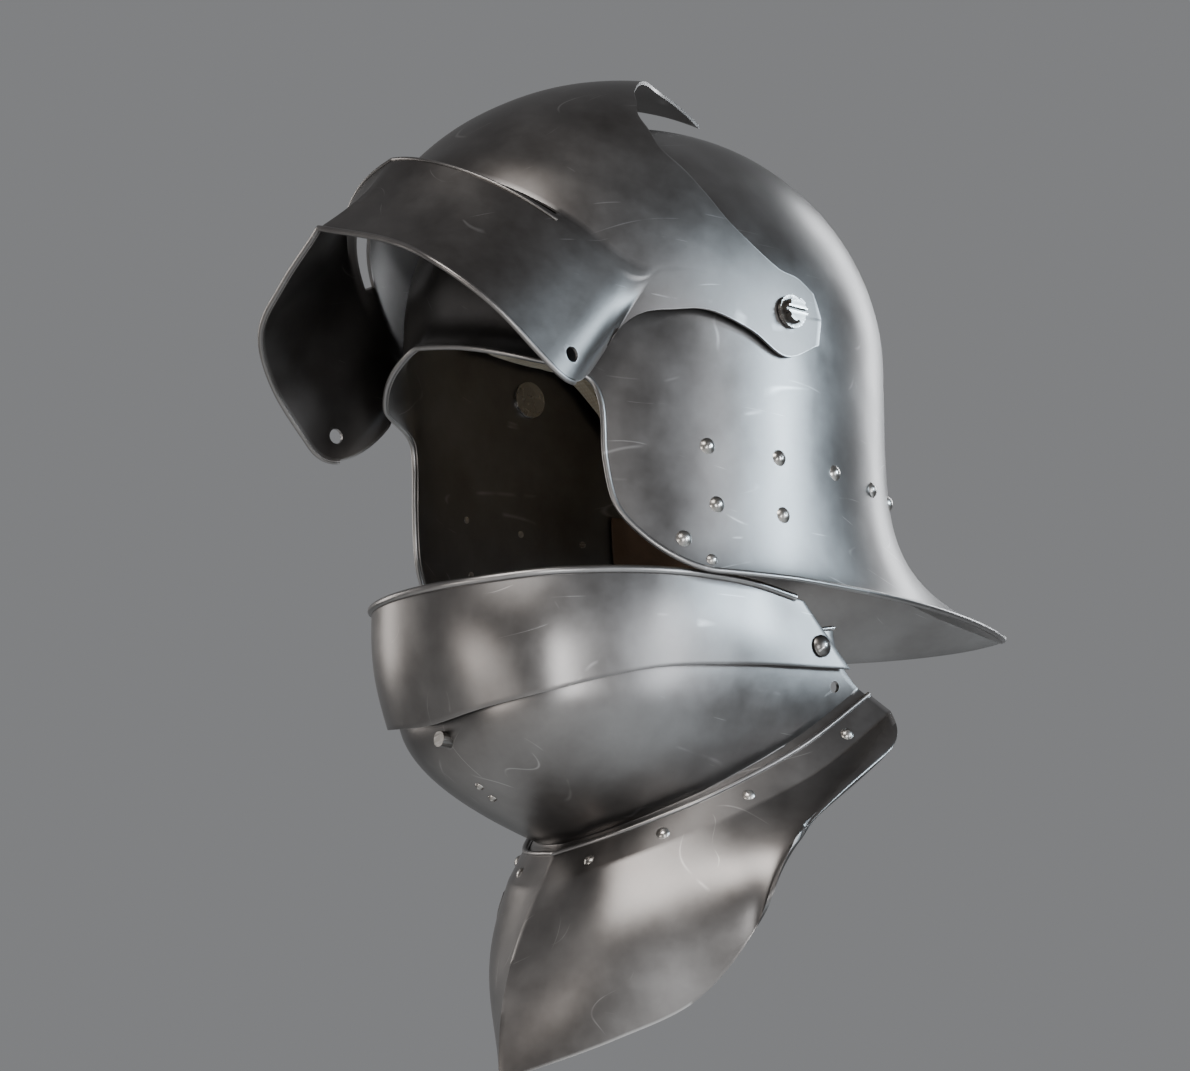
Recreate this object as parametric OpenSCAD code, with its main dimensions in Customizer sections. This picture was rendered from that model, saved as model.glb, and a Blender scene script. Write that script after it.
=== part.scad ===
// Visored sallet with a falling bevor and a gorget plate.
// The helmet faces -Y and its left side is +X. The origin is the middle of the neck opening.

/* [Plate] */
// Thickness of the skull, chin plate and gorget sheet
plate_t = 2; // [1.5:0.1:2.4]
// Thickness of the visor and lame sheet
thin_t = 1.8; // [1.4:0.1:2]

/* [Skull] */
// Height of the visor pivots above the neck opening
pivot_z = 250; // [240:1:260]
// Half width of the skull at the pivots
skull_w = 105; // [103:0.5:107]
// Reach of the skull in front of the pivots
skull_front = 146; // [142:1:148]
// Reach of the skull behind the pivots
skull_back = 136; // [130:1:140]
// Height of the crown above the pivots
crown_h = 122; // [118:1:124]
// Reach of the tail behind the pivots
tail_reach = 262; // [240:1:280]
// Depth of the skull's side rim below the pivots
rim_drop = 141; // [138:1:143]
// Rise of the rim towards the tip of the tail
tail_rise = 27; // [15:1:35]
// How far the brow edge turns out
brow_flare = 9; // [5:0.5:10]

/* [Visor] */
// Radius of the holes at the visor's tips
tip_hole_r = 4; // [3:0.5:4.5]

/* [Pivots] */
// Radius of the pivot bush
bush_r = 4; // [3.5:0.1:4.5]
// Radius of the pivot's screw head
screw_head_r = 8.6; // [7.5:0.1:9.5]

/* [Bevor] */
// Radius of the lame's hinge studs
stud_r = 3; // [2.5:0.1:3.4]
// Radius of the spring catch's button
button_r = 4; // [3:0.1:4.5]
// Radius of the strap holes in the chin plate
strap_hole_r = 3; // [2.5:0.1:3.5]

/* [Rivets] */
// Radius of the lining rivets' heads
rivet_r = 4.2; // [3.6:0.1:4.6]

/* [Hidden] */
steel = [0.27, 0.26, 0.26];
dark_steel = [0.2, 0.19, 0.19];
hide = [0.22, 0.13, 0.08];
linen = [0.55, 0.5, 0.42];
// Clearance of a turning or sliding fit
fit = 0.08;
// Step over which a sheet's slope is taken
step = 0.001;
// Middle of the skull's plan along Y
mid_y = 2;
// Sides of a round hole, shaft or head
fine = 48;
// The plates below are drawn about the pivots' height and lifted to it
lift = [0, 0, pivot_z];

function ramp(t) = let (c = max(0, min(1, t))) c * c * (3 - 2 * c);
function unit(v) = v / norm(v);
function along(list, t) = [for (c = [1:3]) lookup(t, [for (p = list) [p[0], p[c]]])];

// Skull: k runs from the brow (0) round to the tail (1), v from the crown (0) to the edge (1).
// Each row is k, the angle round the bowl and the height of the edge.
edge = [[0, 0, -24], [0.07, 15, -29], [0.14, 31, -38], [0.2, 44, -47], [0.225, 46.5, -58],
    [0.27, 47.5, -88], [0.31, 50, -111], [0.35, 56, -126], [0.4, 64, -137], [0.45, 71, -rim_drop],
    [0.6, 97, 3 - rim_drop], [0.8, 135, 12 - rim_drop], [1, 180, tail_rise - rim_drop]];
function edge_angle(k) = lookup(k, [for (e = edge) [e[0], e[1]]]);
function edge_z(k) = lookup(k, [for (e = edge) [e[0], e[2]]]);
function rim_z(a) = lookup(a, [[0, -rim_drop], [71, -rim_drop], [97, 3 - rim_drop],
    [135, 12 - rim_drop], [180, tail_rise - rim_drop]]);
// How far down the side a part of the way q from the pivots to the rim comes, and back again
function drop(q) = 1.7 * q - 0.7 * q * q;
function undrop(f) = (1.7 - sqrt(2.89 - 2.8 * f)) / 1.4;
function reach(a) = a < 90 ? skull_front : skull_back;
// A point of the bowl at angle a: h from 0 at the crown to 1 at the pivots and 2 at the rim
function bowl(a, h) =
    let (low = max(0, h - 1), up = 90 * min(1, h), flare = pow(low, 4))
    let (rim_x = a < 90 ? (skull_w + 3) * sin(a) : (skull_w + 3) * pow(sin(a), 1.7))
    let (rim_y = mid_y - (a < 90 ? (reach(a) + 3) : tail_reach - mid_y) * cos(a))
    let (x = skull_w * sin(a) * sin(up), y = mid_y - reach(a) * cos(a) * sin(up))
    let (keel = 2.6 * exp(-pow(x / 14, 2)), k_y = -keel * sign(cos(a)) * sin(up))
    [x + (rim_x - skull_w * sin(a)) * flare,
        y + k_y + (rim_y - mid_y + reach(a) * cos(a)) * flare,
        (crown_h + keel) * cos(up) + rim_z(a) * drop(low)];
// A point of the skull: s goes round from the brow to the tail on each side, t down to the edge
function skull_pt(s, t) =
    let (k = abs(s), side = s < 0 ? -1 : 1, a = edge_angle(k), z_end = edge_z(k))
    let (h_end = 1 + undrop(min(1, z_end / rim_z(a))))
    let (angle = 180 * k + (a - 180 * k) * ramp(1.1 * t), h = h_end * t)
    let (p = bowl(angle, h), gap = abs(p[2] - z_end))
    let (turn = k < 0.23 ? 1 - ramp((k - 0.14) / 0.07) : 0)
    let (out = brow_flare * turn * pow(max(0, 1 - gap / 18), 2))
    [side * (p[0] + out * sin(angle)), p[1] - out * cos(angle), p[2]];

// Visor: u runs from the left arm (1) over the middle (0) to the right arm (-1).
// Each row is u and a point on the top edge, the sight line or the bottom edge.
visor_top = [[0, 0, 33, 128], [0.05, 7, 12, 130], [0.1, 15, -8, 128], [0.17, 31, -30, 120],
    [0.26, 50, -52, 106], [0.33, 58, -58, 98], [0.4, 65, -63, 88], [0.46, 71, -62, 79],
    [0.54, 78, -61, 70], [0.62, 86, -53, 61], [0.7, 92, -44, 50], [0.78, 98, -32, 37],
    [0.86, 104, -8, 22], [0.93, 105, 6, 19], [1, 105, 17, 13]];
visor_sight = [[0, 0, -160, 72], [0.09, 32, -148, 57], [0.18, 58, -130, 42], [0.26, 76, -112, 27],
    [0.33, 87, -98, 14], [0.4, 94, -88, 8], [0.54, 100, -72, 12], [0.7, 103, -46, 12],
    [0.86, 105, -18, 4], [0.93, 105, 0, 0], [1, 105, 22, 1]];
visor_low = [[0, 0, -217, 26], [0.09, 45, -207, 10], [0.18, 75, -199, -8], [0.26, 92, -178, -29],
    [0.33, 98, -153, -51], [0.37, 100, -140, -61], [0.4, 100, -134, -60], [0.46, 101, -124, -45],
    [0.54, 101, -111, -28], [0.62, 101, -93, -16], [0.7, 102, -72, -11], [0.78, 103, -50, -8],
    [0.86, 105, -24, -14], [0.93, 105, -2, -23], [1, 105, 20, -13]];
// Reach of the visor's bowl from the pivots' line, by the angle above straight ahead
function visor_reach(b) = lookup(b, [[-40, 164], [24, 171], [30, 167], [41, 161], [55, 154],
    [68, 149], [84, 146], [110, 144]]);
arm_x = skull_w + 3.6;
// The point of the visor's bowl in the direction of p
function on_bowl(p) =
    let (d = unit(p), r = visor_reach(atan2(d[2], -d[1])))
    d * pow(pow(abs(d[0]) / arm_x, 2.3) + pow(norm([d[1], d[2]]) / r, 2.3), -1 / 2.3);
// The stepped ledge of the sight: its two rows down the sheet, and how far it steps out
visor_rows = 26;
ledge_row = 12;
ledge_lo = ledge_row / visor_rows;
ledge_hi = (ledge_row + 2) / visor_rows;
ledge = 17;
// Columns of the sight slit from the middle of the visor: where the bridge ends, where it ends
visor_columns = 50;
slit_from = 1;
slit_to = 6;
function visor_pt(u, v) =
    let (k = abs(u), top = along(visor_top, k), sight = along(visor_sight, k))
    let (low = along(visor_low, k), inner = on_bowl(sight), fade = 1 - ramp((k - 0.02) / 0.33))
    let (arm = ramp((k - 0.34) / 0.14), step_out = ledge * fade * unit([inner[0] * 0.5, inner[1], 20]))
    let (raw = inner + step_out + (1 - fade) * 0.1 * (low - inner))
    let (outer = raw * (1 - arm) + on_bowl(raw) * arm)
    let (w = max(0, (v - ledge_hi) / (1 - ledge_hi)), q = outer * (1 - w) + low * w)
    let (hollow = 5 * fade * sin(180 * w))
    let (p = v <= ledge_lo ? on_bowl(top + (sight - top) * v / ledge_lo)
        : v < ledge_hi ? inner + (outer - inner) * (v - ledge_lo) / (ledge_hi - ledge_lo)
        : (q + [0, hollow, 0]) * (1 - arm) + on_bowl(q) * arm)
    [p[0] * (u < 0 ? -1 : 1), p[1], p[2]];

// Bevor: u runs from the front (0) to the rear end of each side (1)
lame_top = [[0, 0, -161, -152], [0.25, 42, -150, -151], [0.42, 70, -122, -147], [0.6, 90, -75, -143],
    [0.8, 97, -25, -142], [1, 97, 18, -146]];
lame_low = [[0, 0, -144, -216], [0.25, 38, -139, -212], [0.42, 66, -119, -205], [0.6, 87, -76, -192],
    [0.8, 96, -20, -184], [1, 97, 50, -177]];
chin_top = [[0, 0, -138, -207], [0.25, 38, -133, -203], [0.42, 64, -114, -196], [0.6, 84, -74, -184],
    [0.8, 92.5, -20, -170], [1, 93, 42, -156]];
neck_in = [[0, 0, -60, -266], [0.25, 30, -52, -261], [0.42, 48, -38, -253], [0.6, 66, -16, -240],
    [0.8, 83, 22, -215], [1, 92, 60, -185]];
neck_out = [[0, 0, -72, -290], [0.25, 34, -63, -282], [0.42, 55, -44, -272], [0.6, 76, -18, -258],
    [0.8, 93, 26, -232], [1, 101, 70, -196]];
bib_low = [[0, 0, -100, -388], [0.25, 46, -62, -368], [0.42, 74, -36, -350], [0.6, 98, -20, -318],
    [0.8, 112, -8, -276], [1, 114, 46, -232]];
function plan_side(u, p) = [(u < 0 ? -1 : 1) * p[0], p[1], p[2]];
function lame_pt(u, v) = let (k = abs(u), p = along(lame_top, k) * (1 - v) + along(lame_low, k) * v)
    let (bulge = 4 * sin(180 * v) * (1 - k * k), d = unit([p[0], p[1] - 10, 0]))
    plan_side(u, p + bulge * d);
// Share of the chin plate that is its bowl; the rest is the neck flange
body_part = 0.8;
function chin_pt(u, v) =
    let (k = abs(u), w = min(1, v / body_part), a = along(chin_top, k), b = along(neck_in, k))
    let (c = [a[0], a[1], a[2] + (b[2] - a[2]) * 0.6], lip = max(0, (v - body_part) / (1 - body_part)))
    let (p = a * (1 - w) * (1 - w) + c * 2 * w * (1 - w) + b * w * w)
    plan_side(u, p + (along(neck_out, k) - b) * lip);
// How far the gorget plate stands off the neck flange that it covers
cover = 3.4;
function bib_pt(u, v) =
    let (k = abs(u), a = along(neck_in, k), b = along(neck_out, k), c = along(bib_low, k))
    let (out = cover * unit([a[0], a[1] - 40, -30]), w = max(0, (v - 0.25) / 0.75))
    let (e = a + (b - a) * (0.2 + 0.8 * min(1, v / 0.25)))
    plan_side(u, e + out + (c - b - out) * w + 8 * sin(180 * w) * unit([a[0], a[1], 0]));

// A sheet's outward direction at (s, t)
function face_dir(f, s, t, lo, hi) =
    let (s1 = max(lo, s - step), s2 = min(hi, s + step), t1 = max(0, t - step), t2 = min(1, t + step))
    unit(cross(f(s2, t) - f(s1, t), f(s, t2) - f(s, t1)));

// A sheet of thickness wall on the function f, open where keep(i, j) is false
module sheet(f, across, down, wall, keep) {
    outer = [for (j = [0:down]) for (i = [0:across]) f(2 * i / across - 1, j / down)];
    inner = [for (j = [0:down]) for (i = [0:across]) let (s = 2 * i / across - 1, t = j / down)
        f(s, t) + wall * face_dir(f, s, t, -1, 1)];
    row = across + 1;
    half = row * (down + 1);
    function here(i, j) = i >= 0 && i < across && j >= 0 && j < down && keep(i, j);
    function at(i, j) = j * row + i;
    faces = [for (j = [0:down - 1]) for (i = [0:across - 1]) if (here(i, j))
        let (a = at(i, j), b = at(i + 1, j), c = at(i + 1, j + 1), d = at(i, j + 1))
        each [[a, b, c], [a, c, d], [a + half, c + half, b + half], [a + half, d + half, c + half],
            if (!here(i, j - 1)) each [[a, a + half, b + half], [a, b + half, b]],
            if (!here(i + 1, j)) each [[b, b + half, c + half], [b, c + half, c]],
            if (!here(i, j + 1)) each [[c, c + half, d + half], [c, d + half, d]],
            if (!here(i - 1, j)) each [[d, d + half, a + half], [d, a + half, a]]]];
    polyhedron(points = concat(outer, inner), faces = faces);
}

// The skull's shell: rings from the crown to the edge, closed at the crown
module dome(f, round, down, wall) {
    first = 0.02;
    function turn(i) = 2 * i / round - 1;
    function level(j) = first + (1 - first) * j / down;
    outer = [for (j = [0:down]) for (i = [0:round - 1]) f(turn(i), level(j))];
    inner = [for (j = [0:down]) for (i = [0:round - 1])
        f(turn(i), level(j)) + wall * face_dir(f, turn(i), level(j), -2, 2)];
    half = round * (down + 1);
    function at(i, j) = j * round + i % round;
    skin = [for (j = [0:down - 1]) for (i = [0:round - 1])
        let (a = at(i, j), b = at(i + 1, j), c = at(i + 1, j + 1), d = at(i, j + 1))
        each [[a, b, c], [a, c, d], [a + half, c + half, b + half], [a + half, d + half, c + half]]];
    rim = [for (i = [0:round - 1]) let (a = at(i, down), b = at(i + 1, down))
        each [[a, b, b + half], [a, b + half, a + half]]];
    cap = [for (i = [1:round - 2]) each [[0, i + 1, i], [half, half + i, half + i + 1]]];
    polyhedron(points = concat(outer, inner), faces = concat(skin, rim, cap));
}

// Places things on the bowl at angle a and height z, with +Z pointing out
module on_skull(a, z) {
    function spot(a, z) = bowl(a, 1 + undrop(z / rim_z(a)));
    n = unit(cross(spot(a + 1, z) - spot(a, z), spot(a, z + 1) - spot(a, z)));
    translate(spot(a, z)) rotate([0, acos(n[2]), atan2(n[1], n[0])]) children();
}

// Places things on a bevor sheet f at (u, v), with +Z pointing out
module on_sheet(f, u, v) {
    n = -face_dir(f, u, v, -1, 1);
    translate(f(u, v)) rotate([0, acos(n[2]), atan2(n[1], n[0])]) children();
}

// The same thing on both sides
module both() {
    children();
    mirror([1, 0, 0]) children();
}

// A round-headed rivet standing on z = 0, with its shank through a wall below
module rivet(r, wall) {
    tall = 0.55 * r;
    rotate_extrude($fn = 24) intersection() {
        translate([0, tall - r * 1.18]) circle(r = r * 1.18, $fn = fine);
        translate([0, -0.2]) square([r, r]);
    }
    translate([0, 0, -wall - 0.5]) cylinder(r = 0.45 * r, h = wall + 0.6, $fn = 20);
}

// A bore through both sides of the helmet
module bore_x(r) rotate([0, 90, 0]) cylinder(r = r, h = 260, center = true, $fn = fine);

// Places things on the pivots' line at x, with +Z pointing out
module along_x(x) translate([x, 0, 0]) rotate([0, 90, 0]) children();

module skull() color(steel) translate(lift) difference() {
    dome(function(s, t) skull_pt(s > 1 ? s - 2 : s < -1 ? s + 2 : s, t), 80, 14, plate_t);
    bore_x(bush_r);
}
module pivot_bush() color(steel) translate(lift) difference() {
    union() {
        along_x(skull_w - plate_t - 2) cylinder(r = 10, h = 1.8, $fn = fine);
        along_x(skull_w - plate_t - 1) cylinder(r = bush_r, h = plate_t + 4.9, $fn = fine);
    }
    along_x(skull_w - 1) cylinder(r = 2.2, h = 10, $fn = 24);
}
module pivot_bush_left() pivot_bush();
module pivot_bush_right() mirror([1, 0, 0]) pivot_bush();
module pivot_washer() color(dark_steel) translate(lift) along_x(skull_w + 0.1) difference() {
    cylinder(r = 7.4, h = 1.1, $fn = fine);
    translate([0, 0, -1]) cylinder(r = bush_r + fit, h = 4, $fn = fine);
}
module pivot_washer_left() pivot_washer();
module pivot_washer_right() mirror([1, 0, 0]) pivot_washer();
module pivot_screw() color(dark_steel) translate(lift) {
    along_x(skull_w) cylinder(r = 2.1, h = 5, $fn = 24);
    along_x(arm_x + 0.5) cylinder(r = screw_head_r, h = 2, $fn = fine);
    along_x(arm_x + 2.4) difference() {
        cylinder(r = screw_head_r - 2, h = 4.2, $fn = fine);
        for (turn = [0:60:300]) rotate(turn)
            translate([screw_head_r - 1.6, 0, 0.6]) cylinder(r = 1.5, h = 6, $fn = 20);
        translate([-1, -10, 2.6]) cube([2, 20, 3]);
    }
}
module pivot_screw_left() pivot_screw();
module pivot_screw_right() mirror([1, 0, 0]) pivot_screw();
module lining_rivets() color(steel) translate(lift) both()
    for (i = [0:6]) on_skull(70 + 17.2 * i, -77 + 2 * (i > 3 ? i - 3 : 0)) rivet(rivet_r, plate_t);
module strap_rivets() color(steel) translate(lift) both()
    for (a = [72, 88]) on_skull(a, -106.5) rivet(rivet_r, plate_t);
module cheek_studs() color(steel) translate(lift) both() {
    on_skull(64.5, -126) rivet(rivet_r, plate_t);
    on_skull(70.5, -135.5) rivet(3, plate_t);
}
module lining_band() color(hide) translate(lift) sheet(function(s, t)
    let (p = bowl(180 - 68 * abs(s), 1.3 + 0.2 * t), n = unit([p[0], p[1] * 0.8, 0]))
    [(s > 0 ? -1 : 1) * p[0], p[1], p[2]] - (plate_t + 1.6) * [(s > 0 ? -1 : 1) * n[0], n[1], 0],
    28, 2, 1.6, function(i, j) true);
// Thickness of the quilted liner
liner_t = 7;
module liner() color(linen) translate(lift) dome(function(s, t)
    let (past = abs(s) > 1, side = past ? -sign(s) : sign(s + 0.00001), k = past ? 2 - abs(s) : abs(s))
    let (a = 180 * k)
    let (p = bowl(a, t * (0.9 + 0.36 * ramp((a - 95) / 35))))
    [side * p[0] * 0.945, mid_y + (p[1] - mid_y) * 0.945, p[2] * 0.95 - 1], 48, 8, liner_t);

// The visor's sight opens through the ledge on each side of the middle
module visor() color(dark_steel) translate(lift) resize([0, 0, 0]) difference() {
    sheet(function(s, t) visor_pt(s, t), visor_columns, visor_rows, thin_t,
        function(i, j) let (from_middle = abs(i - (visor_columns - 1) / 2))
            j != ledge_row || from_middle < slit_from || from_middle > slit_to);
    bore_x(bush_r + fit);
    both() translate([80, -135, -46]) rotate([0, 90, 0]) cylinder(r = tip_hole_r, h = 40, $fn = fine);
}

// The lame's hinge studs and the strap holes in the chin plate
stud_y = 29;
stud_z = -168;
strap_y = 44;
strap_z = -186;
module lame() color(steel) translate(lift) difference() {
    sheet(function(s, t) lame_pt(s, t), 40, 6, thin_t, function(i, j) true);
    translate([0, stud_y, stud_z]) bore_x(stud_r + fit);
}
module lame_stud() color(dark_steel) translate(lift) translate([0, stud_y, stud_z]) {
    along_x(98.4) rotate_extrude($fn = fine) intersection() {
        translate([0, -4]) circle(r = 7, $fn = fine);
        square([6, 4]);
    }
    along_x(87.8) cylinder(r = stud_r, h = 10.8, $fn = fine);
}
module lame_stud_left() lame_stud();
module lame_stud_right() mirror([1, 0, 0]) lame_stud();
module stud_burrs() color(steel) translate(lift) both() translate([0, stud_y, stud_z]) along_x(88.3)
    difference() {
        cylinder(r = 6, h = 1.4, $fn = fine);
        translate([0, 0, -1]) cylinder(r = stud_r, h = 4, $fn = fine);
    }

// Height of the spring catch and the inner end of its button
catch_z = -222;
button_back = -125;
module chin_plate() color(dark_steel) translate(lift) difference() {
    sheet(function(s, t) chin_pt(s, t), 40, 15, plate_t, function(i, j) true);
    translate([0, stud_y, stud_z]) bore_x(stud_r);
    translate([0, strap_y, strap_z]) bore_x(strap_hole_r);
    translate([0, -100, catch_z]) rotate([90, 0, 0]) cylinder(r = button_r + fit, h = 60, $fn = fine);
}
module catch_button() color(steel) translate(lift) translate([0, button_back, catch_z])
    rotate([90, 0, 0]) {
        cylinder(r = button_r, h = 14, $fn = fine);
        cylinder(r = button_r + 1.6, h = 1.2, $fn = fine);
    }
module catch_spring() color(steel) translate(lift) translate([0, 0, catch_z]) rotate([90, 0, 90])
    translate([0, 0, -4]) linear_extrude(8) polygon([[-121, 5], [-120, 5], [-119.4, -8], [-111.4, -20.5],
        [-112.6, -21.2], [-120.4, -8.4]]);
module catch_rivets() color(steel) translate(lift)
    for (v = [0.45, 0.52]) on_sheet(function(s, t) chin_pt(s, t), 0, v) rivet(2.4, plate_t + 2);
module flange_rivets() color(steel) translate(lift)
    for (u = [-0.9, -0.66, -0.44, -0.2, 0.2, 0.44, 0.66, 0.9])
        on_sheet(function(s, t) bib_pt(s, t), u, 0.16) rivet(rivet_r - 0.6, plate_t + 3);
module gorget_plate() color(steel) translate(lift)
    sheet(function(s, t) bib_pt(s, t), 40, 12, plate_t, function(i, j) true);

skull();
pivot_bush_left();
pivot_bush_right();
pivot_screw_left();
pivot_screw_right();
pivot_washer_left();
pivot_washer_right();
lining_rivets();
strap_rivets();
cheek_studs();
lining_band();
liner();
visor();
lame();
lame_stud_left();
lame_stud_right();
stud_burrs();
chin_plate();
catch_spring();
catch_button();
catch_rivets();
flange_rivets();
gorget_plate();
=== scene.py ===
import math

import bpy
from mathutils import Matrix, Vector


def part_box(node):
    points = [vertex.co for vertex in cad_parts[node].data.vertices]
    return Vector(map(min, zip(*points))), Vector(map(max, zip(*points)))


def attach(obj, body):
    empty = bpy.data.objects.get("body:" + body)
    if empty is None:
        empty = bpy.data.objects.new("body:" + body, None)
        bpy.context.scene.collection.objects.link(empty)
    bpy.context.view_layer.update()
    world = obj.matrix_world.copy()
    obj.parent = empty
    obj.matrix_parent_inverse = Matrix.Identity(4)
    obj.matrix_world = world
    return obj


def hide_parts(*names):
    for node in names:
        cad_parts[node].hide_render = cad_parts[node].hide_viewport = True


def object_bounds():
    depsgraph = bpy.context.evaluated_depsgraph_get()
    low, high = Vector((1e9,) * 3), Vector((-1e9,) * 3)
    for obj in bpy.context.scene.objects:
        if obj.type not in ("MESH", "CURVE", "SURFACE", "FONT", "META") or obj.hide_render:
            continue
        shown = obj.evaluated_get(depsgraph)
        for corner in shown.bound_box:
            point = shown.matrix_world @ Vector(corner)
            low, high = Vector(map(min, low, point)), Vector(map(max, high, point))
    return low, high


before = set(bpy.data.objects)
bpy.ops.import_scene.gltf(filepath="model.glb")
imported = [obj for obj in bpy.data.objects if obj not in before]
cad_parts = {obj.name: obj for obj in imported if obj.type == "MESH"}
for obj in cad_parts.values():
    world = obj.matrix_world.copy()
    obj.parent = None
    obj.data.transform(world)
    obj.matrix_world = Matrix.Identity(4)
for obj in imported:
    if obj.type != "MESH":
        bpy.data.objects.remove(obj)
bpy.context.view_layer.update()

# Same frame and sizes as the CAD model, here in millimetres above the pivots' height
skull = {"wall": 2.0, "halfWidth": 105, "front": 146, "back": 136, "crown": 122, "tail": 262,
         "browFlare": 9, "keel": 2.6, "keelWidth": 14, "rimRoll": 1.5, "across": 252, "down": 66}
visor = {"wall": 1.8, "ledge": 17, "hollow": 5, "edgeRoll": 1.5, "ledgeRoll": 0.9, "tipHole": 4.0, "armHole": 4.08,
         "keel": 3.5, "keelWidth": 7, "roundness": 2.3, "across": 200, "down": 78}
lame = {"wall": 1.8, "bulge": 4, "edgeRoll": 2.1, "studHole": 3.08, "across": 150, "down": 24}
chin = {"wall": 2.0, "studHole": 3.0, "strapHole": 3.0, "buttonHole": 4.08, "edgeRoll": 1.2,
        "across": 150, "down": 60}
bib = {"wall": 2.0, "cover": 3.4, "bulge": 8, "flangeShare": 0.25, "edgeRoll": 1.3, "across": 150, "down": 60}
padding = {"thick": 7, "shrink": 0.945, "gores": 20, "goreDepth": 0.02, "ribs": 6, "ribDepth": 0.014,
           "soften": 2.5, "fill": 0.5, "across": 200, "down": 56}
band = {"thick": 1.6, "across": 90, "down": 10}
# Places of the holes, as distances forward or back and up or down from the pivots
studPlace = (29, -168)
strapPlace = (44, -186)
tipPlace = (-135, -46)
buttonPlace = (-134, -222)
midY = 2
pivotZ = (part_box("pivot_bush_left")[0][2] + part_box("pivot_bush_left")[1][2]) / 2 * 1000
armX = skull["halfWidth"] + 3.6


def ramp(t):
    c = max(0.0, min(1.0, t))
    return c * c * (3 - 2 * c)


def smoothRow(rows, t, roundFront=False):
    # values between the rows on a smooth curve, with no crease at the first row when roundFront is set
    n = len(rows)
    i = 0
    while i < n - 2 and t > rows[i + 1][0]:
        i += 1
    p, q = rows[i], rows[i + 1]
    span = q[0] - p[0]
    f = max(0.0, min(1.0, (t - p[0]) / span))
    out = []
    for c in range(1, len(p)):
        slope = (q[c] - p[c]) / span
        before = 0.0 if roundFront and c > 1 else slope
        if i > 0:
            r = rows[i - 1]
            before = ((p[c] - r[c]) / (p[0] - r[0]) + slope) / 2
        after = slope
        if i < n - 2:
            r = rows[i + 2]
            after = ((r[c] - q[c]) / (r[0] - q[0]) + slope) / 2
        h = f * f * (3 - 2 * f)
        out.append(p[c] * (1 - h) + q[c] * h + span * (f * (1 - f) ** 2 * before - f * f * (1 - f) * after))
    return out


# Skull: each row is the share of the way from brow to tail, the angle round the bowl, and the edge's height
skullEdge = [(0, 0, -24), (0.07, 15, -29), (0.14, 31, -38), (0.2, 44, -47), (0.225, 46.5, -58),
             (0.27, 47.5, -88), (0.31, 50, -111), (0.35, 56, -126), (0.4, 64, -137), (0.45, 71, -141),
             (0.6, 97, -138), (0.8, 135, -129), (1, 180, -114)]
rimHeights = [(0, -141), (71, -141), (97, -138), (135, -129), (180, -114)]


def bowl(angle, h):
    low = max(0.0, h - 1)
    up = math.radians(90 * min(1.0, h))
    a = math.radians(angle)
    flare = low ** 4
    reach = skull["front"] if angle < 90 else skull["back"]
    sinA = max(0.0, math.sin(a))
    rimX = (skull["halfWidth"] + 3) * (sinA if angle < 90 else sinA ** 1.7)
    rimY = midY - (reach + 3 if angle < 90 else skull["tail"] - midY) * math.cos(a)
    x = skull["halfWidth"] * sinA * math.sin(up)
    y = midY - reach * math.cos(a) * math.sin(up)
    keel = skull["keel"] * math.exp(-(x / skull["keelWidth"]) ** 2)
    turn = -keel * (1 if angle < 90 else -1) * math.sin(up) * min(1.0, abs(math.cos(a)) * 4)
    drop = 1.7 * low - 0.7 * low * low
    return [x + (rimX - skull["halfWidth"] * sinA) * flare,
            y + turn + (rimY - midY + reach * math.cos(a)) * flare,
            (skull["crown"] + keel) * math.cos(up) + smoothRow(rimHeights, angle)[0] * drop]


def skullPoint(s, t):
    k = abs(s)
    side = -1 if s < 0 else 1
    angleEnd, zEnd = smoothRow(skullEdge, k)
    share = min(1.0, zEnd / smoothRow(rimHeights, angleEnd)[0])
    hEnd = 1 + (1.7 - math.sqrt(max(0.0, 2.89 - 2.8 * share))) / 1.4
    angle = 180 * k + (angleEnd - 180 * k) * ramp(1.1 * t)
    p = bowl(angle, hEnd * t)
    gap = abs(p[2] - zEnd)
    turn = 1 - ramp((k - 0.14) / 0.07) if k < 0.23 else 0
    out = skull["browFlare"] * turn * max(0.0, 1 - gap / 18) ** 2
    a = math.radians(angle)
    return side * (p[0] + out * math.sin(a)), p[1] - out * math.cos(a), p[2]


# Visor: each row is the share of the way from the middle to the arm's end, then a point on that edge
visorTop = [(0, 0, 33, 128), (0.05, 7, 12, 130), (0.1, 15, -8, 128), (0.17, 31, -30, 120),
            (0.26, 50, -52, 106), (0.33, 58, -58, 98), (0.4, 65, -63, 88), (0.46, 71, -62, 79),
            (0.54, 78, -61, 70), (0.62, 86, -53, 61), (0.7, 92, -44, 50), (0.78, 98, -32, 37),
            (0.86, 104, -8, 22), (0.93, 105, 6, 19), (1, 105, 17, 13)]
visorSight = [(0, 0, -160, 72), (0.09, 32, -148, 57), (0.18, 58, -130, 42), (0.26, 76, -112, 27),
              (0.33, 87, -98, 14), (0.4, 94, -88, 8), (0.54, 100, -72, 12), (0.7, 103, -46, 12),
              (0.86, 105, -18, 4), (0.93, 105, 0, 0), (1, 105, 22, 1)]
visorLow = [(0, 0, -217, 26), (0.09, 45, -207, 10), (0.18, 75, -199, -8), (0.26, 92, -178, -29),
            (0.33, 98, -153, -51), (0.37, 100, -140, -61), (0.4, 100, -134, -60), (0.46, 101, -124, -45),
            (0.54, 101, -111, -28), (0.62, 101, -93, -16), (0.7, 102, -72, -11), (0.78, 103, -50, -8),
            (0.86, 105, -24, -14), (0.93, 105, -2, -23), (1, 105, 20, -13)]
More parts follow.
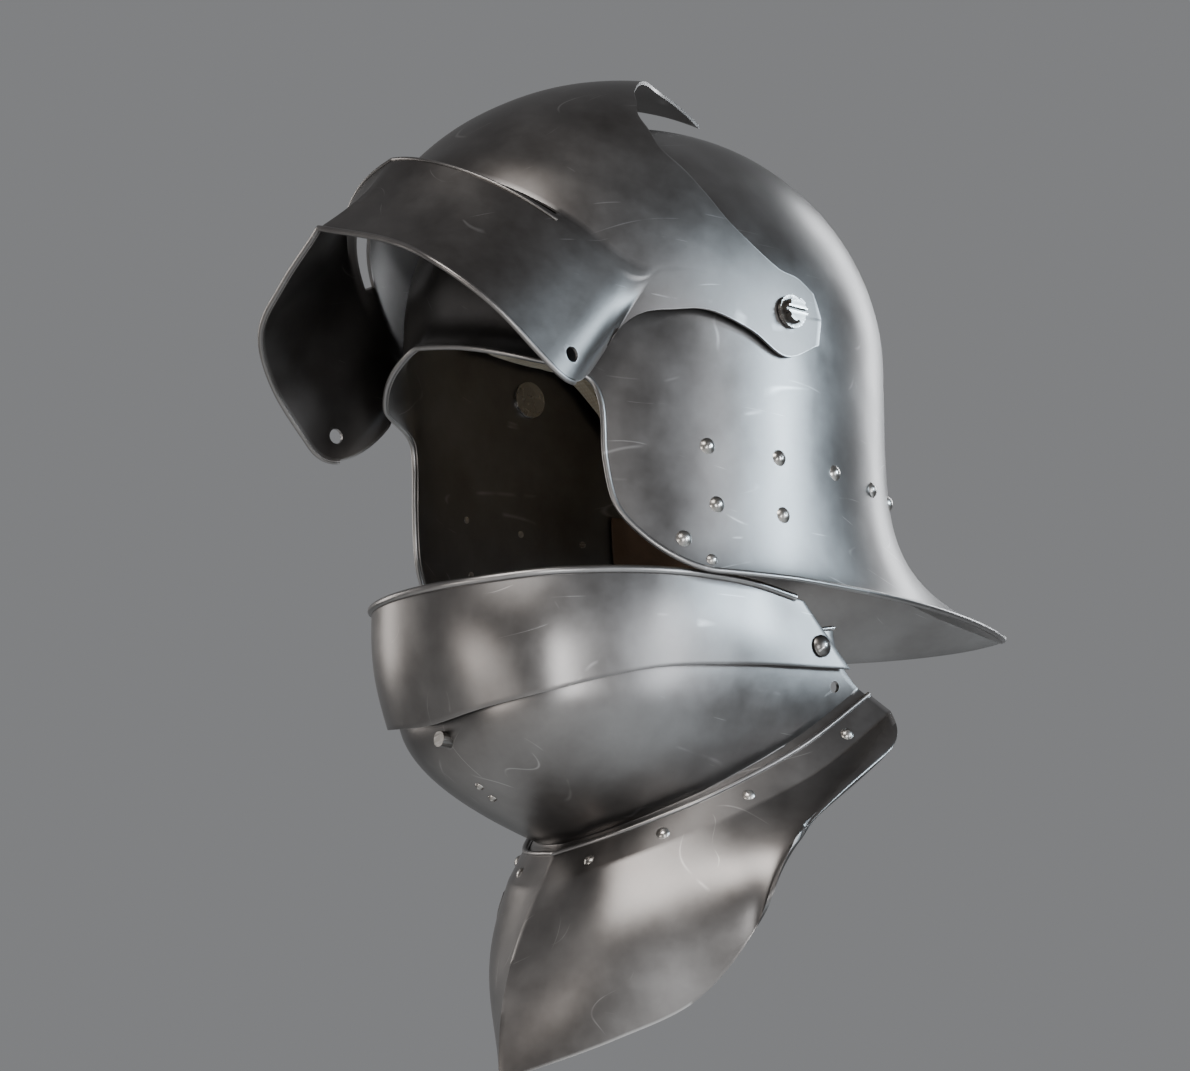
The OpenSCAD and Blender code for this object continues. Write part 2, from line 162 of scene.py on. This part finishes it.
# Reach of the visor's bowl from the pivots' line, by the angle above straight ahead
visorReach = [(-40, 164), (24, 171), (30, 167), (41, 161), (55, 154), (68, 149), (84, 146), (110, 144)]
# The sight's ledge and its slit, as shares of the way down the visor
visorRows = 26
ledgeLow = 12 / visorRows
ledgeHigh = 14 / visorRows
slitFrom = 0.04
slitTo = 0.24


def onBowl(p):
    d = Vector(p).normalized()
    b = math.degrees(math.atan2(d.z, -d.y))
    r = smoothRow(visorReach, max(visorReach[0][0], min(visorReach[-1][0], b)))[0]
    power = visor["roundness"]
    size = (abs(d.x) / armX) ** power + (math.hypot(d.y, d.z) / r) ** power
    return d * size ** (-1 / power)


def visorPoint(s, t):
    k = abs(s)
    top = Vector(smoothRow(visorTop, k))
    sight = Vector(smoothRow(visorSight, k))
    low = Vector(smoothRow(visorLow, k))
    inner = onBowl(sight)
    fade = 1 - ramp((k - 0.02) / 0.33)
    arm = ramp((k - 0.34) / 0.14)
    outer = inner + visor["ledge"] * fade * Vector((inner.x * 0.5, inner.y, 20)).normalized()
    outer = outer + (1 - fade) * 0.1 * (low - inner)
    outer = outer * (1 - arm) + onBowl(outer) * arm
    if t <= ledgeLow + 1e-6:
        p = onBowl(top + (sight - top) * (t / ledgeLow))
    elif t < ledgeHigh - 1e-6:
        p = inner + (outer - inner) * ((t - ledgeLow) / (ledgeHigh - ledgeLow))
    else:
        w = (t - ledgeHigh) / (1 - ledgeHigh)
        q = outer * (1 - w) + low * w
        hollow = Vector((0, visor["hollow"] * fade * math.sin(math.pi * w), 0))
        pinch = Vector((0, -visor["keel"] * math.exp(-(q.x / visor["keelWidth"]) ** 2) * w * (1 - 0.9 * w), 0))
        p = (q + hollow + pinch) * (1 - arm) + onBowl(q) * arm
    return (-p.x if s < 0 else p.x), p.y, p.z


# Bevor: each row is the share of the way from the front to the rear end, then a point on that edge
lameTop = [(0, 0, -161, -152), (0.25, 42, -150, -151), (0.42, 70, -122, -147), (0.6, 90, -75, -143),
           (0.8, 97, -25, -142), (1, 97, 18, -146)]
lameLow = [(0, 0, -144, -216), (0.25, 38, -139, -212), (0.42, 66, -119, -205), (0.6, 87, -76, -192),
           (0.8, 96, -20, -184), (1, 97, 50, -177)]
chinTop = [(0, 0, -138, -207), (0.25, 38, -133, -203), (0.42, 64, -114, -196), (0.6, 84, -74, -184),
           (0.8, 92.5, -20, -170), (1, 93, 42, -156)]
neckIn = [(0, 0, -60, -266), (0.25, 30, -52, -261), (0.42, 48, -38, -253), (0.6, 66, -16, -240),
          (0.8, 83, 22, -215), (1, 92, 60, -185)]
neckOut = [(0, 0, -72, -290), (0.25, 34, -63, -282), (0.42, 55, -44, -272), (0.6, 76, -18, -258),
           (0.8, 93, 26, -232), (1, 101, 70, -196)]
bibLow = [(0, 0, -100, -388), (0.25, 46, -62, -368), (0.42, 74, -36, -350), (0.6, 98, -20, -318),
          (0.8, 112, -8, -276), (1, 114, 46, -232)]
chinBody = 0.8


def lamePoint(s, t):
    k = abs(s)
    p = Vector(smoothRow(lameTop, k, True)) * (1 - t) + Vector(smoothRow(lameLow, k, True)) * t
    p += lame["bulge"] * math.sin(math.pi * t) * (1 - k * k) * Vector((p.x, p.y - 10, 0)).normalized()
    return (-p.x if s < 0 else p.x), p.y, p.z


def chinPoint(s, t):
    k = abs(s)
    w = min(1.0, t / chinBody)
    a = Vector(smoothRow(chinTop, k, True))
    b = Vector(smoothRow(neckIn, k, True))
    c = Vector((a.x, a.y, a.z + (b.z - a.z) * 0.6))
    lip = max(0.0, (t - chinBody) / (1 - chinBody))
    p = a * (1 - w) ** 2 + c * 2 * w * (1 - w) + b * w * w + (Vector(smoothRow(neckOut, k, True)) - b) * lip
    return (-p.x if s < 0 else p.x), p.y, p.z


def bibPoint(s, t):
    k = abs(s)
    a = Vector(smoothRow(neckIn, k))
    b = Vector(smoothRow(neckOut, k))
    c = Vector(smoothRow(bibLow, k))
    out = bib["cover"] * Vector((a.x, a.y - 40, -30)).normalized()
    flange = bib["flangeShare"]
    w = max(0.0, (t - flange) / (1 - flange))
    p = a + (b - a) * (0.2 + 0.8 * min(1.0, t / flange)) + out + (c - b - out) * w
    p += bib["bulge"] * math.sin(math.pi * w) * Vector((a.x, a.y, 0)).normalized()
    return (-p.x if s < 0 else p.x), p.y, p.z


def linerPoint(s, t):
    k = abs(s)
    a = 180 * k
    h = t * (0.9 + 0.36 * ramp((a - 95) / 35))
    p = bowl(a, h)
    seam = abs(math.sin(math.radians(a) * padding["gores"] / 2))
    rib = abs(math.sin(math.pi * padding["ribs"] * t))
    shrink = padding["shrink"] - padding["goreDepth"] * (1 - seam ** 0.4) * ramp(t * 4)
    shrink -= padding["ribDepth"] * (1 - rib ** 0.4)
    side = -1 if s < 0 else 1
    return side * p[0] * shrink, midY + (p[1] - midY) * shrink, p[2] * (shrink + 0.005) - 1


def bandPoint(s, t):
    p = bowl(180 - 68 * abs(s), 1.3 + 0.2 * t)
    side = -1 if s < 0 else 1
    n = Vector((p[0], p[1] * 0.8, 0)).normalized() * (skull["wall"] + band["thick"])
    return side * (p[0] - n.x), p[1] - n.y, p[2]


def deselectAll():
    if bpy.context.object and bpy.context.object.mode != "OBJECT":
        bpy.ops.object.mode_set(mode="OBJECT")
    bpy.ops.object.select_all(action="DESELECT")


def pickOnly(piece):
    deselectAll()
    piece.select_set(True)
    bpy.context.view_layer.objects.active = piece


def inMetres(p):
    return Vector((p[0], p[1], p[2] + pivotZ)) / 1000


def applyAll(piece):
    pickOnly(piece)
    for modifier in list(piece.modifiers):
        bpy.ops.object.modifier_apply(modifier=modifier.name)


def outwards(mesh, centre):
    away = sum((f.center - centre).dot(f.normal) * f.area for f in mesh.polygons)
    if away < 0:
        mesh.flip_normals()


def shapeSheet(name, shape, size, wall, centreHeight, openCell=None, closed=False, soften=0.35):
    # a grid laid on the shape, given its thickness and softened edges; its outside faces away from centreHeight
    deselectAll()
    bpy.ops.mesh.primitive_grid_add(x_subdivisions=size["across"], y_subdivisions=size["down"], size=2)
    piece = bpy.context.object
    piece.name = name
    mesh = piece.data
    if openCell:
        bpy.ops.object.mode_set(mode="EDIT")
        bpy.ops.mesh.select_all(action="DESELECT")
        bpy.ops.object.mode_set(mode="OBJECT")
        for f in mesh.polygons:
            f.select = openCell(f.center.x, (1 - f.center.y) / 2)
        bpy.ops.object.mode_set(mode="EDIT")
        bpy.ops.mesh.select_mode(type="FACE")
        bpy.ops.mesh.delete(type="FACE")
        bpy.ops.object.mode_set(mode="OBJECT")
    for v in mesh.vertices:
        v.co = inMetres(shape(v.co.x, (1 - v.co.y) / 2))
    if closed:
        bpy.ops.object.mode_set(mode="EDIT")
        bpy.ops.mesh.select_all(action="SELECT")
        bpy.ops.mesh.remove_doubles(threshold=0.00002)
        bpy.ops.mesh.normals_make_consistent(inside=False)
        bpy.ops.object.mode_set(mode="OBJECT")
    outwards(mesh, inMetres((0, 0, centreHeight)))
    solid = piece.modifiers.new("wall", "SOLIDIFY")
    solid.thickness = wall / 1000
    solid.offset = -1
    solid.use_quality_normals = True
    if soften:
        bevel = piece.modifiers.new("soften", "BEVEL")
        bevel.width = soften / 1000
        bevel.segments = 2
        bevel.limit_method = "ANGLE"
        bevel.angle_limit = math.radians(60)
    applyAll(piece)
    print("shaped", name, len(piece.data.polygons))
    return piece


def drill(piece, at, axis, radius, depth):
    # a round hole cut through a plate along X or Y
    deselectAll()
    turn = (0, math.pi / 2, 0) if axis == "X" else (math.pi / 2, 0, 0)
    bpy.ops.mesh.primitive_cylinder_add(vertices=48, radius=radius / 1000, depth=depth / 1000,
                                        location=inMetres(at), rotation=turn)
    cutter = bpy.context.object
    cut = piece.modifiers.new("hole", "BOOLEAN")
    cut.operation = "DIFFERENCE"
    cut.object = cutter
    cut.solver = "EXACT"
    applyAll(piece)
    bpy.data.objects.remove(cutter, do_unlink=True)


def rollEdge(piece, points, radius, closed=False):
    # a rolled bead along an edge, joined to its plate
    line = bpy.data.curves.new("roll", "CURVE")
    line.dimensions = "3D"
    spline = line.splines.new("POLY")
    spline.points.add(len(points) - 1)
    for dot, p in zip(spline.points, points):
        dot.co = (*inMetres(p), 1)
    spline.use_cyclic_u = closed
    line.bevel_depth = radius / 1000
    line.bevel_resolution = 3
    line.use_fill_caps = True
    roll = bpy.data.objects.new("roll", line)
    bpy.context.scene.collection.objects.link(roll)
    pickOnly(roll)
    bpy.ops.object.convert(target="MESH")
    roll = bpy.context.object
    deselectAll()
    roll.select_set(True)
    piece.select_set(True)
    bpy.context.view_layer.objects.active = piece
    bpy.ops.object.join()


def edgeLine(shape, t, start=-1.0, end=1.0, steps=200):
    return [shape(start + (end - start) * i / steps, t) for i in range(steps + 1)]


def finishPiece(piece, body, nodes, material, angle=38):
    pickOnly(piece)
    bpy.ops.object.transform_apply(location=True, rotation=True, scale=True)
    bpy.ops.object.shade_smooth_by_angle(angle=math.radians(angle))
    piece.data.materials.clear()
    piece.data.materials.append(material)
    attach(piece, body)
    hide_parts(*nodes)


# Shader node groups, each made once
def newGroup(name, inputs, outputs):
    group = bpy.data.node_groups.new(name, "ShaderNodeTree")
    for label, kind, value in inputs:
        socket = group.interface.new_socket(label, in_out="INPUT", socket_type=kind)
        socket.default_value = value
    for label, kind in outputs:
        group.interface.new_socket(label, in_out="OUTPUT", socket_type=kind)
    return group, group.nodes.new("NodeGroupInput"), group.nodes.new("NodeGroupOutput")


def addNode(tree, kind, **values):
    made = tree.nodes.new(kind)
    for key, value in values.items():
        if hasattr(made, key):
            setattr(made, key, value)
        else:
            made.inputs[key].default_value = value
    return made


def doMath(tree, operation, first, second=0.0):
    made = addNode(tree, "ShaderNodeMath", operation=operation)
    for socket, value in zip(made.inputs, (first, second)):
        if isinstance(value, (int, float)):
            socket.default_value = value
        else:
            tree.links.new(value, socket)
    return made.outputs[0]


def fitRange(tree, value, low, high, toLow=0.0, toHigh=1.0):
    made = tree.nodes.new("ShaderNodeMapRange")
    made.inputs["From Min"].default_value = low
    made.inputs["From Max"].default_value = high
    made.inputs["To Min"].default_value = toLow
    made.inputs["To Max"].default_value = toHigh
    tree.links.new(value, made.inputs["Value"])
    return made.outputs["Result"]


def mixColour(tree, share, first, second, blend="MIX"):
    made = addNode(tree, "ShaderNodeMix", data_type="RGBA", blend_type=blend)
    for socket, value in ((made.inputs["Factor"], share), (made.inputs[6], first), (made.inputs[7], second)):
        if isinstance(value, (int, float, tuple)):
            socket.default_value = value
        else:
            tree.links.new(value, socket)
    return made.outputs[2]


def makeScratches():
    # long fine scratches in crossing directions, as a mask
    group, source, result = newGroup("fineScratches", [("Vector", "NodeSocketVector", (0, 0, 0)),
                                                       ("Amount", "NodeSocketFloat", 0.5)],
                                     [("Mask", "NodeSocketFloat")])
    total = None
    directions = (((0.3, 0.5, 0.2), 20, 0.004), ((1.1, 0.2, 0.9), 15, 0.003), ((0.7, 1.3, 0.4), 30, 0.005))
    for turn, scale, width in directions:
        mapping = addNode(group, "ShaderNodeMapping")
        mapping.inputs["Rotation"].default_value = turn
        mapping.inputs["Scale"].default_value = (1, 0.06, 1)
        group.links.new(source.outputs["Vector"], mapping.inputs["Vector"])
        bend = addNode(group, "ShaderNodeTexNoise", Scale=scale, Detail=0.0, Distortion=0.15)
        group.links.new(mapping.outputs[0], bend.inputs["Vector"])
        line = doMath(group, "ABSOLUTE", doMath(group, "SUBTRACT", bend.outputs["Fac"], 0.5))
        thin = fitRange(group, line, 0.0, width, 1.0, 0.0)
        where = addNode(group, "ShaderNodeTexNoise", Scale=scale * 1.7, Detail=2.0)
        group.links.new(source.outputs["Vector"], where.inputs["Vector"])
        kept = doMath(group, "MULTIPLY", thin, fitRange(group, where.outputs["Fac"], 0.56, 0.66))
        total = kept if total is None else doMath(group, "MAXIMUM", total, kept)
    group.links.new(doMath(group, "MULTIPLY", total, source.outputs["Amount"]), result.inputs["Mask"])
    return group


def makeBrushing():
    # fine satin grain: a height, a slow mottle and shallow dents
    group, source, result = newGroup("satinGrain", [("Vector", "NodeSocketVector", (0, 0, 0))],
                                     [("Height", "NodeSocketFloat"), ("Mottle", "NodeSocketFloat"),
                                      ("Dents", "NodeSocketFloat")])
    mapping = addNode(group, "ShaderNodeMapping")
    mapping.inputs["Rotation"].default_value = (0.0, 0.6, 0.3)
    mapping.inputs["Scale"].default_value = (1, 1, 5)
    group.links.new(source.outputs["Vector"], mapping.inputs["Vector"])
    grain = addNode(group, "ShaderNodeTexNoise", Scale=520.0, Detail=3.0, Roughness=0.7)
    group.links.new(mapping.outputs[0], grain.inputs["Vector"])
    mottle = addNode(group, "ShaderNodeTexNoise", Scale=17.0, Detail=5.0, Roughness=0.62)
    group.links.new(source.outputs["Vector"], mottle.inputs["Vector"])
    dents = addNode(group, "ShaderNodeTexNoise", Scale=24.0, Detail=1.0)
    group.links.new(source.outputs["Vector"], dents.inputs["Vector"])
    group.links.new(grain.outputs["Fac"], result.inputs["Height"])
    group.links.new(mottle.outputs["Fac"], result.inputs["Mottle"])
    group.links.new(dents.outputs["Fac"], result.inputs["Dents"])
    return group


scratches = makeScratches()
brushing = makeBrushing()


def steelFinish(name, dark, light, rough, wornEdge=0.6, scratched=0.6):
    # satin plate steel: mottled tone, worn bright edges, fine scratches and grain
    made = bpy.data.materials.new(name)
    made.use_nodes = True
    tree = made.node_tree
    shader = tree.nodes["Principled BSDF"]
    shader.inputs["Metallic"].default_value = 1.0
    place = tree.nodes.new("ShaderNodeTexCoord")
    grain = addNode(tree, "ShaderNodeGroup", node_tree=brushing)
    tree.links.new(place.outputs["Object"], grain.inputs["Vector"])
    marks = addNode(tree, "ShaderNodeGroup", node_tree=scratches)
    marks.inputs["Amount"].default_value = scratched
    tree.links.new(place.outputs["Object"], marks.inputs["Vector"])
    facing = tree.nodes.new("ShaderNodeNewGeometry")
    edge = doMath(tree, "MULTIPLY", fitRange(tree, facing.outputs["Pointiness"], 0.53, 0.6), wornEdge)
    tone = mixColour(tree, fitRange(tree, grain.outputs["Mottle"], 0.32, 0.68), (*dark, 1), (*light, 1))
    bright = tuple(min(1.0, c * 2.2 + 0.12) for c in light)
    tone = mixColour(tree, edge, tone, (*bright, 1))
    tone = mixColour(tree, doMath(tree, "MULTIPLY", marks.outputs["Mask"], 0.6), tone, (*bright, 1))
    tree.links.new(tone, shader.inputs["Base Color"])
    gloss = fitRange(tree, grain.outputs["Mottle"], 0.3, 0.7, rough - 0.05, rough + 0.07)
    gloss = doMath(tree, "SUBTRACT", gloss, doMath(tree, "MULTIPLY", edge, 0.1))
    tree.links.new(gloss, shader.inputs["Roughness"])
    height = doMath(tree, "ADD", doMath(tree, "MULTIPLY", grain.outputs["Height"], 0.25),
                    doMath(tree, "MULTIPLY", marks.outputs["Mask"], -0.6))
    fineBump = addNode(tree, "ShaderNodeBump", Strength=0.22, Distance=0.0002)
    tree.links.new(height, fineBump.inputs["Height"])
    broadBump = addNode(tree, "ShaderNodeBump", Strength=0.1, Distance=0.004)
    tree.links.new(grain.outputs["Dents"], broadBump.inputs["Height"])
    tree.links.new(broadBump.outputs[0], fineBump.inputs["Normal"])
    tree.links.new(fineBump.outputs[0], shader.inputs["Normal"])
    return made


def clothFinish(name, dark, light, weave):
    made = bpy.data.materials.new(name)
    made.use_nodes = True
    tree = made.node_tree
    shader = tree.nodes["Principled BSDF"]
    shader.inputs["Roughness"].default_value = 0.9
    shader.inputs["Sheen Weight"].default_value = 0.25
    place = tree.nodes.new("ShaderNodeTexCoord")
    waves = []
    for direction in ("X", "Z"):
        wave = addNode(tree, "ShaderNodeTexWave", bands_direction=direction, Scale=weave, Distortion=0.6)
        tree.links.new(place.outputs["Object"], wave.inputs["Vector"])
        waves.append(wave.outputs["Fac"])
    threads = doMath(tree, "MULTIPLY", waves[0], waves[1])
    stain = addNode(tree, "ShaderNodeTexNoise", Scale=22.0, Detail=4.0)
    tree.links.new(place.outputs["Object"], stain.inputs["Vector"])
    tone = mixColour(tree, fitRange(tree, stain.outputs["Fac"], 0.35, 0.7), (*dark, 1), (*light, 1))
    tone = mixColour(tree, doMath(tree, "MULTIPLY", threads, 0.35), tone, (*light, 1))
    tree.links.new(tone, shader.inputs["Base Color"])
    bump = addNode(tree, "ShaderNodeBump", Strength=0.6, Distance=0.0004)
    tree.links.new(threads, bump.inputs["Height"])
    tree.links.new(bump.outputs[0], shader.inputs["Normal"])
    return made


def leatherFinish(name, dark, light):
    made = bpy.data.materials.new(name)
    made.use_nodes = True
    tree = made.node_tree
    shader = tree.nodes["Principled BSDF"]
    place = tree.nodes.new("ShaderNodeTexCoord")
    grain = addNode(tree, "ShaderNodeTexVoronoi", Scale=420.0)
    tree.links.new(place.outputs["Object"], grain.inputs["Vector"])
    wear = addNode(tree, "ShaderNodeTexNoise", Scale=30.0, Detail=6.0)
    tree.links.new(place.outputs["Object"], wear.inputs["Vector"])
    tree.links.new(mixColour(tree, fitRange(tree, wear.outputs["Fac"], 0.35, 0.7), (*dark, 1), (*light, 1)),
                   shader.inputs["Base Color"])
    tree.links.new(fitRange(tree, wear.outputs["Fac"], 0.3, 0.7, 0.45, 0.7), shader.inputs["Roughness"])
    bump = addNode(tree, "ShaderNodeBump", Strength=0.4, Distance=0.0003)
    tree.links.new(grain.outputs["Distance"], bump.inputs["Height"])
    tree.links.new(bump.outputs[0], shader.inputs["Normal"])
    return made


plateSteel = steelFinish("darkPlateSteel", (0.13, 0.12, 0.115), (0.2, 0.19, 0.185), 0.34)
visorSteel = steelFinish("visorSteel", (0.105, 0.095, 0.09), (0.16, 0.15, 0.145), 0.38)
rivetSteel = steelFinish("wornRivetSteel", (0.2, 0.185, 0.17), (0.34, 0.32, 0.3), 0.3, wornEdge=0.8)
fittingSteel = steelFinish("fittingSteel", (0.09, 0.082, 0.078), (0.17, 0.16, 0.15), 0.32, wornEdge=0.9)
liningLeather = leatherFinish("liningLeather", (0.05, 0.026, 0.013), (0.12, 0.066, 0.036))
quiltLinen = clothFinish("quiltLinen", (0.3, 0.25, 0.18), (0.5, 0.44, 0.34), 190.0)
print("materials made")

# Heights that the plates' outsides face away from
domeMiddle = -40
visorMiddle = 0
bevorMiddle = -150

skullPiece = shapeSheet("skullPlate", skullPoint, skull, skull["wall"], domeMiddle, closed=True)
rollEdge(skullPiece, edgeLine(skullPoint, 1.0, steps=420)[:-1], skull["rimRoll"], closed=True)
finishPiece(skullPiece, "sallet", ["skull"], plateSteel)


def inSlit(s, t):
    return ledgeLow < t < ledgeLow + 1 / visorRows and slitFrom < abs(s) < slitTo


visorPiece = shapeSheet("visorPlate", visorPoint, visor, visor["wall"], visorMiddle, openCell=inSlit, soften=0)
for side in (-1, 1):
    drill(visorPiece, (side * armX, 0, 0), "X", visor["armHole"], 12)
    drill(visorPiece, (side * 99, *tipPlace), "X", visor["tipHole"], 24)
rollEdge(visorPiece, edgeLine(visorPoint, 1.0, -0.38, 0.38), visor["edgeRoll"])
rollEdge(visorPiece, edgeLine(visorPoint, ledgeHigh + 0.0001, -0.25, 0.25, 120), visor["ledgeRoll"])
finishPiece(visorPiece, "visor", ["visor"], visorSteel)

lamePiece = shapeSheet("lamePlate", lamePoint, lame, lame["wall"], bevorMiddle)
for side in (-1, 1):
    drill(lamePiece, (side * 97, *studPlace), "X", lame["studHole"], 12)
rollEdge(lamePiece, edgeLine(lamePoint, 0.0, -0.97, 0.97), lame["edgeRoll"])
finishPiece(lamePiece, "lame", ["lame"], plateSteel)

chinPiece = shapeSheet("chinPlate", chinPoint, chin, chin["wall"], bevorMiddle)
for side in (-1, 1):
    drill(chinPiece, (side * 92, *studPlace), "X", chin["studHole"], 12)
    drill(chinPiece, (side * 92, *strapPlace), "X", chin["strapHole"], 12)
drill(chinPiece, (0, *buttonPlace), "Y", chin["buttonHole"], 14)
rollEdge(chinPiece, edgeLine(chinPoint, 0.0), chin["edgeRoll"])
finishPiece(chinPiece, "bevor", ["chin_plate"], plateSteel)

bibPiece = shapeSheet("gorgetPlate", bibPoint, bib, bib["wall"], bevorMiddle)
rollEdge(bibPiece, edgeLine(bibPoint, 0.0), bib["edgeRoll"])
finishPiece(bibPiece, "bevor", ["gorget_plate"], plateSteel)

linerPiece = shapeSheet("quiltedLiner", linerPoint, padding, padding["thick"], domeMiddle, closed=True,
                        soften=padding["soften"])
finishPiece(linerPiece, "sallet", ["liner"], quiltLinen, 70)

bandPiece = shapeSheet("leatherBand", bandPoint, band, band["thick"], bevorMiddle)
finishPiece(bandPiece, "sallet", ["lining_band"], liningLeather, 60)
print("plates and lining done")

rivetNodes = ["lining_rivets", "strap_rivets", "cheek_studs", "catch_rivets", "flange_rivets"]
fittingNodes = [f"{kind}_{side}" for kind in ("pivot_bush", "pivot_screw", "pivot_washer", "lame_stud")
                for side in ("left", "right")] + ["stud_burrs", "catch_spring", "catch_button"]
for nodeName in rivetNodes + fittingNodes:
    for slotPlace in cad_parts[nodeName].material_slots:
        slotPlace.material = rivetSteel if nodeName in rivetNodes else fittingSteel
print("fasteners finished")

# Camera, in front of the left side and below it
camera = {"azimuth": 50, "elevation": -14, "distance": 1.9, "lens": 112.7,
          "aimRight": -96.9, "aimUp": -113.0}
az = math.radians(camera["azimuth"])
el = math.radians(camera["elevation"])
back = Vector((math.sin(az) * math.cos(el), -math.cos(az) * math.cos(el), math.sin(el)))
right = Vector((math.cos(az), math.sin(az), 0))
above = back.cross(right)
target = inMetres((skull["halfWidth"], 0, 0)) + (right * camera["aimRight"] + above * camera["aimUp"]) / 1000
cameraData = bpy.data.cameras.new("camera")
cameraData.sensor_width = 36
cameraData.lens = camera["lens"]
cameraPiece = bpy.data.objects.new("camera", cameraData)
bpy.context.scene.collection.objects.link(cameraPiece)
cameraPiece.location = target + back * camera["distance"]
cameraPiece.rotation_euler = back.to_track_quat("Z", "Y").to_euler()
bpy.context.scene.camera = cameraPiece

# Floor far enough below that the low camera stays above it
floorGap = 0.75
deselectAll()
bpy.ops.mesh.primitive_plane_add(size=14, location=(0, 0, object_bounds()[0][2] - floorGap))
floorPiece = bpy.context.object
floorPiece.name = "floor"
floorMaterial = bpy.data.materials.new("paleFloor")
floorMaterial.use_nodes = True
floorShader = floorMaterial.node_tree.nodes["Principled BSDF"]
floorShader.inputs["Base Color"].default_value = (0.72, 0.72, 0.71, 1)
floorShader.inputs["Roughness"].default_value = 0.8
floorPiece.data.materials.append(floorMaterial)


def addLight(name, place, aim, size, power, colour):
    data = bpy.data.lights.new(name, "AREA")
    data.shape = "RECTANGLE"
    data.size, data.size_y = size
    data.energy = power
    data.color = colour
    piece = bpy.data.objects.new(name, data)
    bpy.context.scene.collection.objects.link(piece)
    piece.location = place
    piece.rotation_euler = (Vector(place) - Vector(aim)).to_track_quat("Z", "Y").to_euler()


middle = (0, 0, 0.15)
addLight("keySoftbox", (0.9, -1.5, 1.3), middle, (0.9, 0.9), 32, (1.0, 0.98, 0.95))
addLight("sideStrip", (2.0, 0.5, 0.1), middle, (0.3, 1.1), 22, (0.86, 0.93, 1.0))
addLight("backStrip", (-0.3, 2.0, 1.2), middle, (0.5, 1.2), 20, (0.9, 0.95, 1.0))
addLight("lowFront", (0.2, -2.0, -0.4), middle, (0.8, 0.4), 8, (1.0, 0.95, 0.9))
addLight("coolSide", (1.6, 1.25, 0.62), middle, (0.3, 0.6), 36, (0.66, 0.85, 1.0))
addLight("lowLeft", (1.5, -0.75, -0.25), (0.08, -0.02, -0.05), (0.35, 0.5), 12, (0.95, 0.98, 1.0))
addLight("farSide", (-1.8, -0.9, 0.5), middle, (0.6, 1.2), 12, (1.0, 0.97, 0.93))
world = bpy.data.worlds.new("studio")
world.use_nodes = True
world.node_tree.nodes["Background"].inputs["Color"].default_value = (0.62, 0.63, 0.65, 1)
world.node_tree.nodes["Background"].inputs["Strength"].default_value = 0.35
bpy.context.scene.world = world
print("studio set")
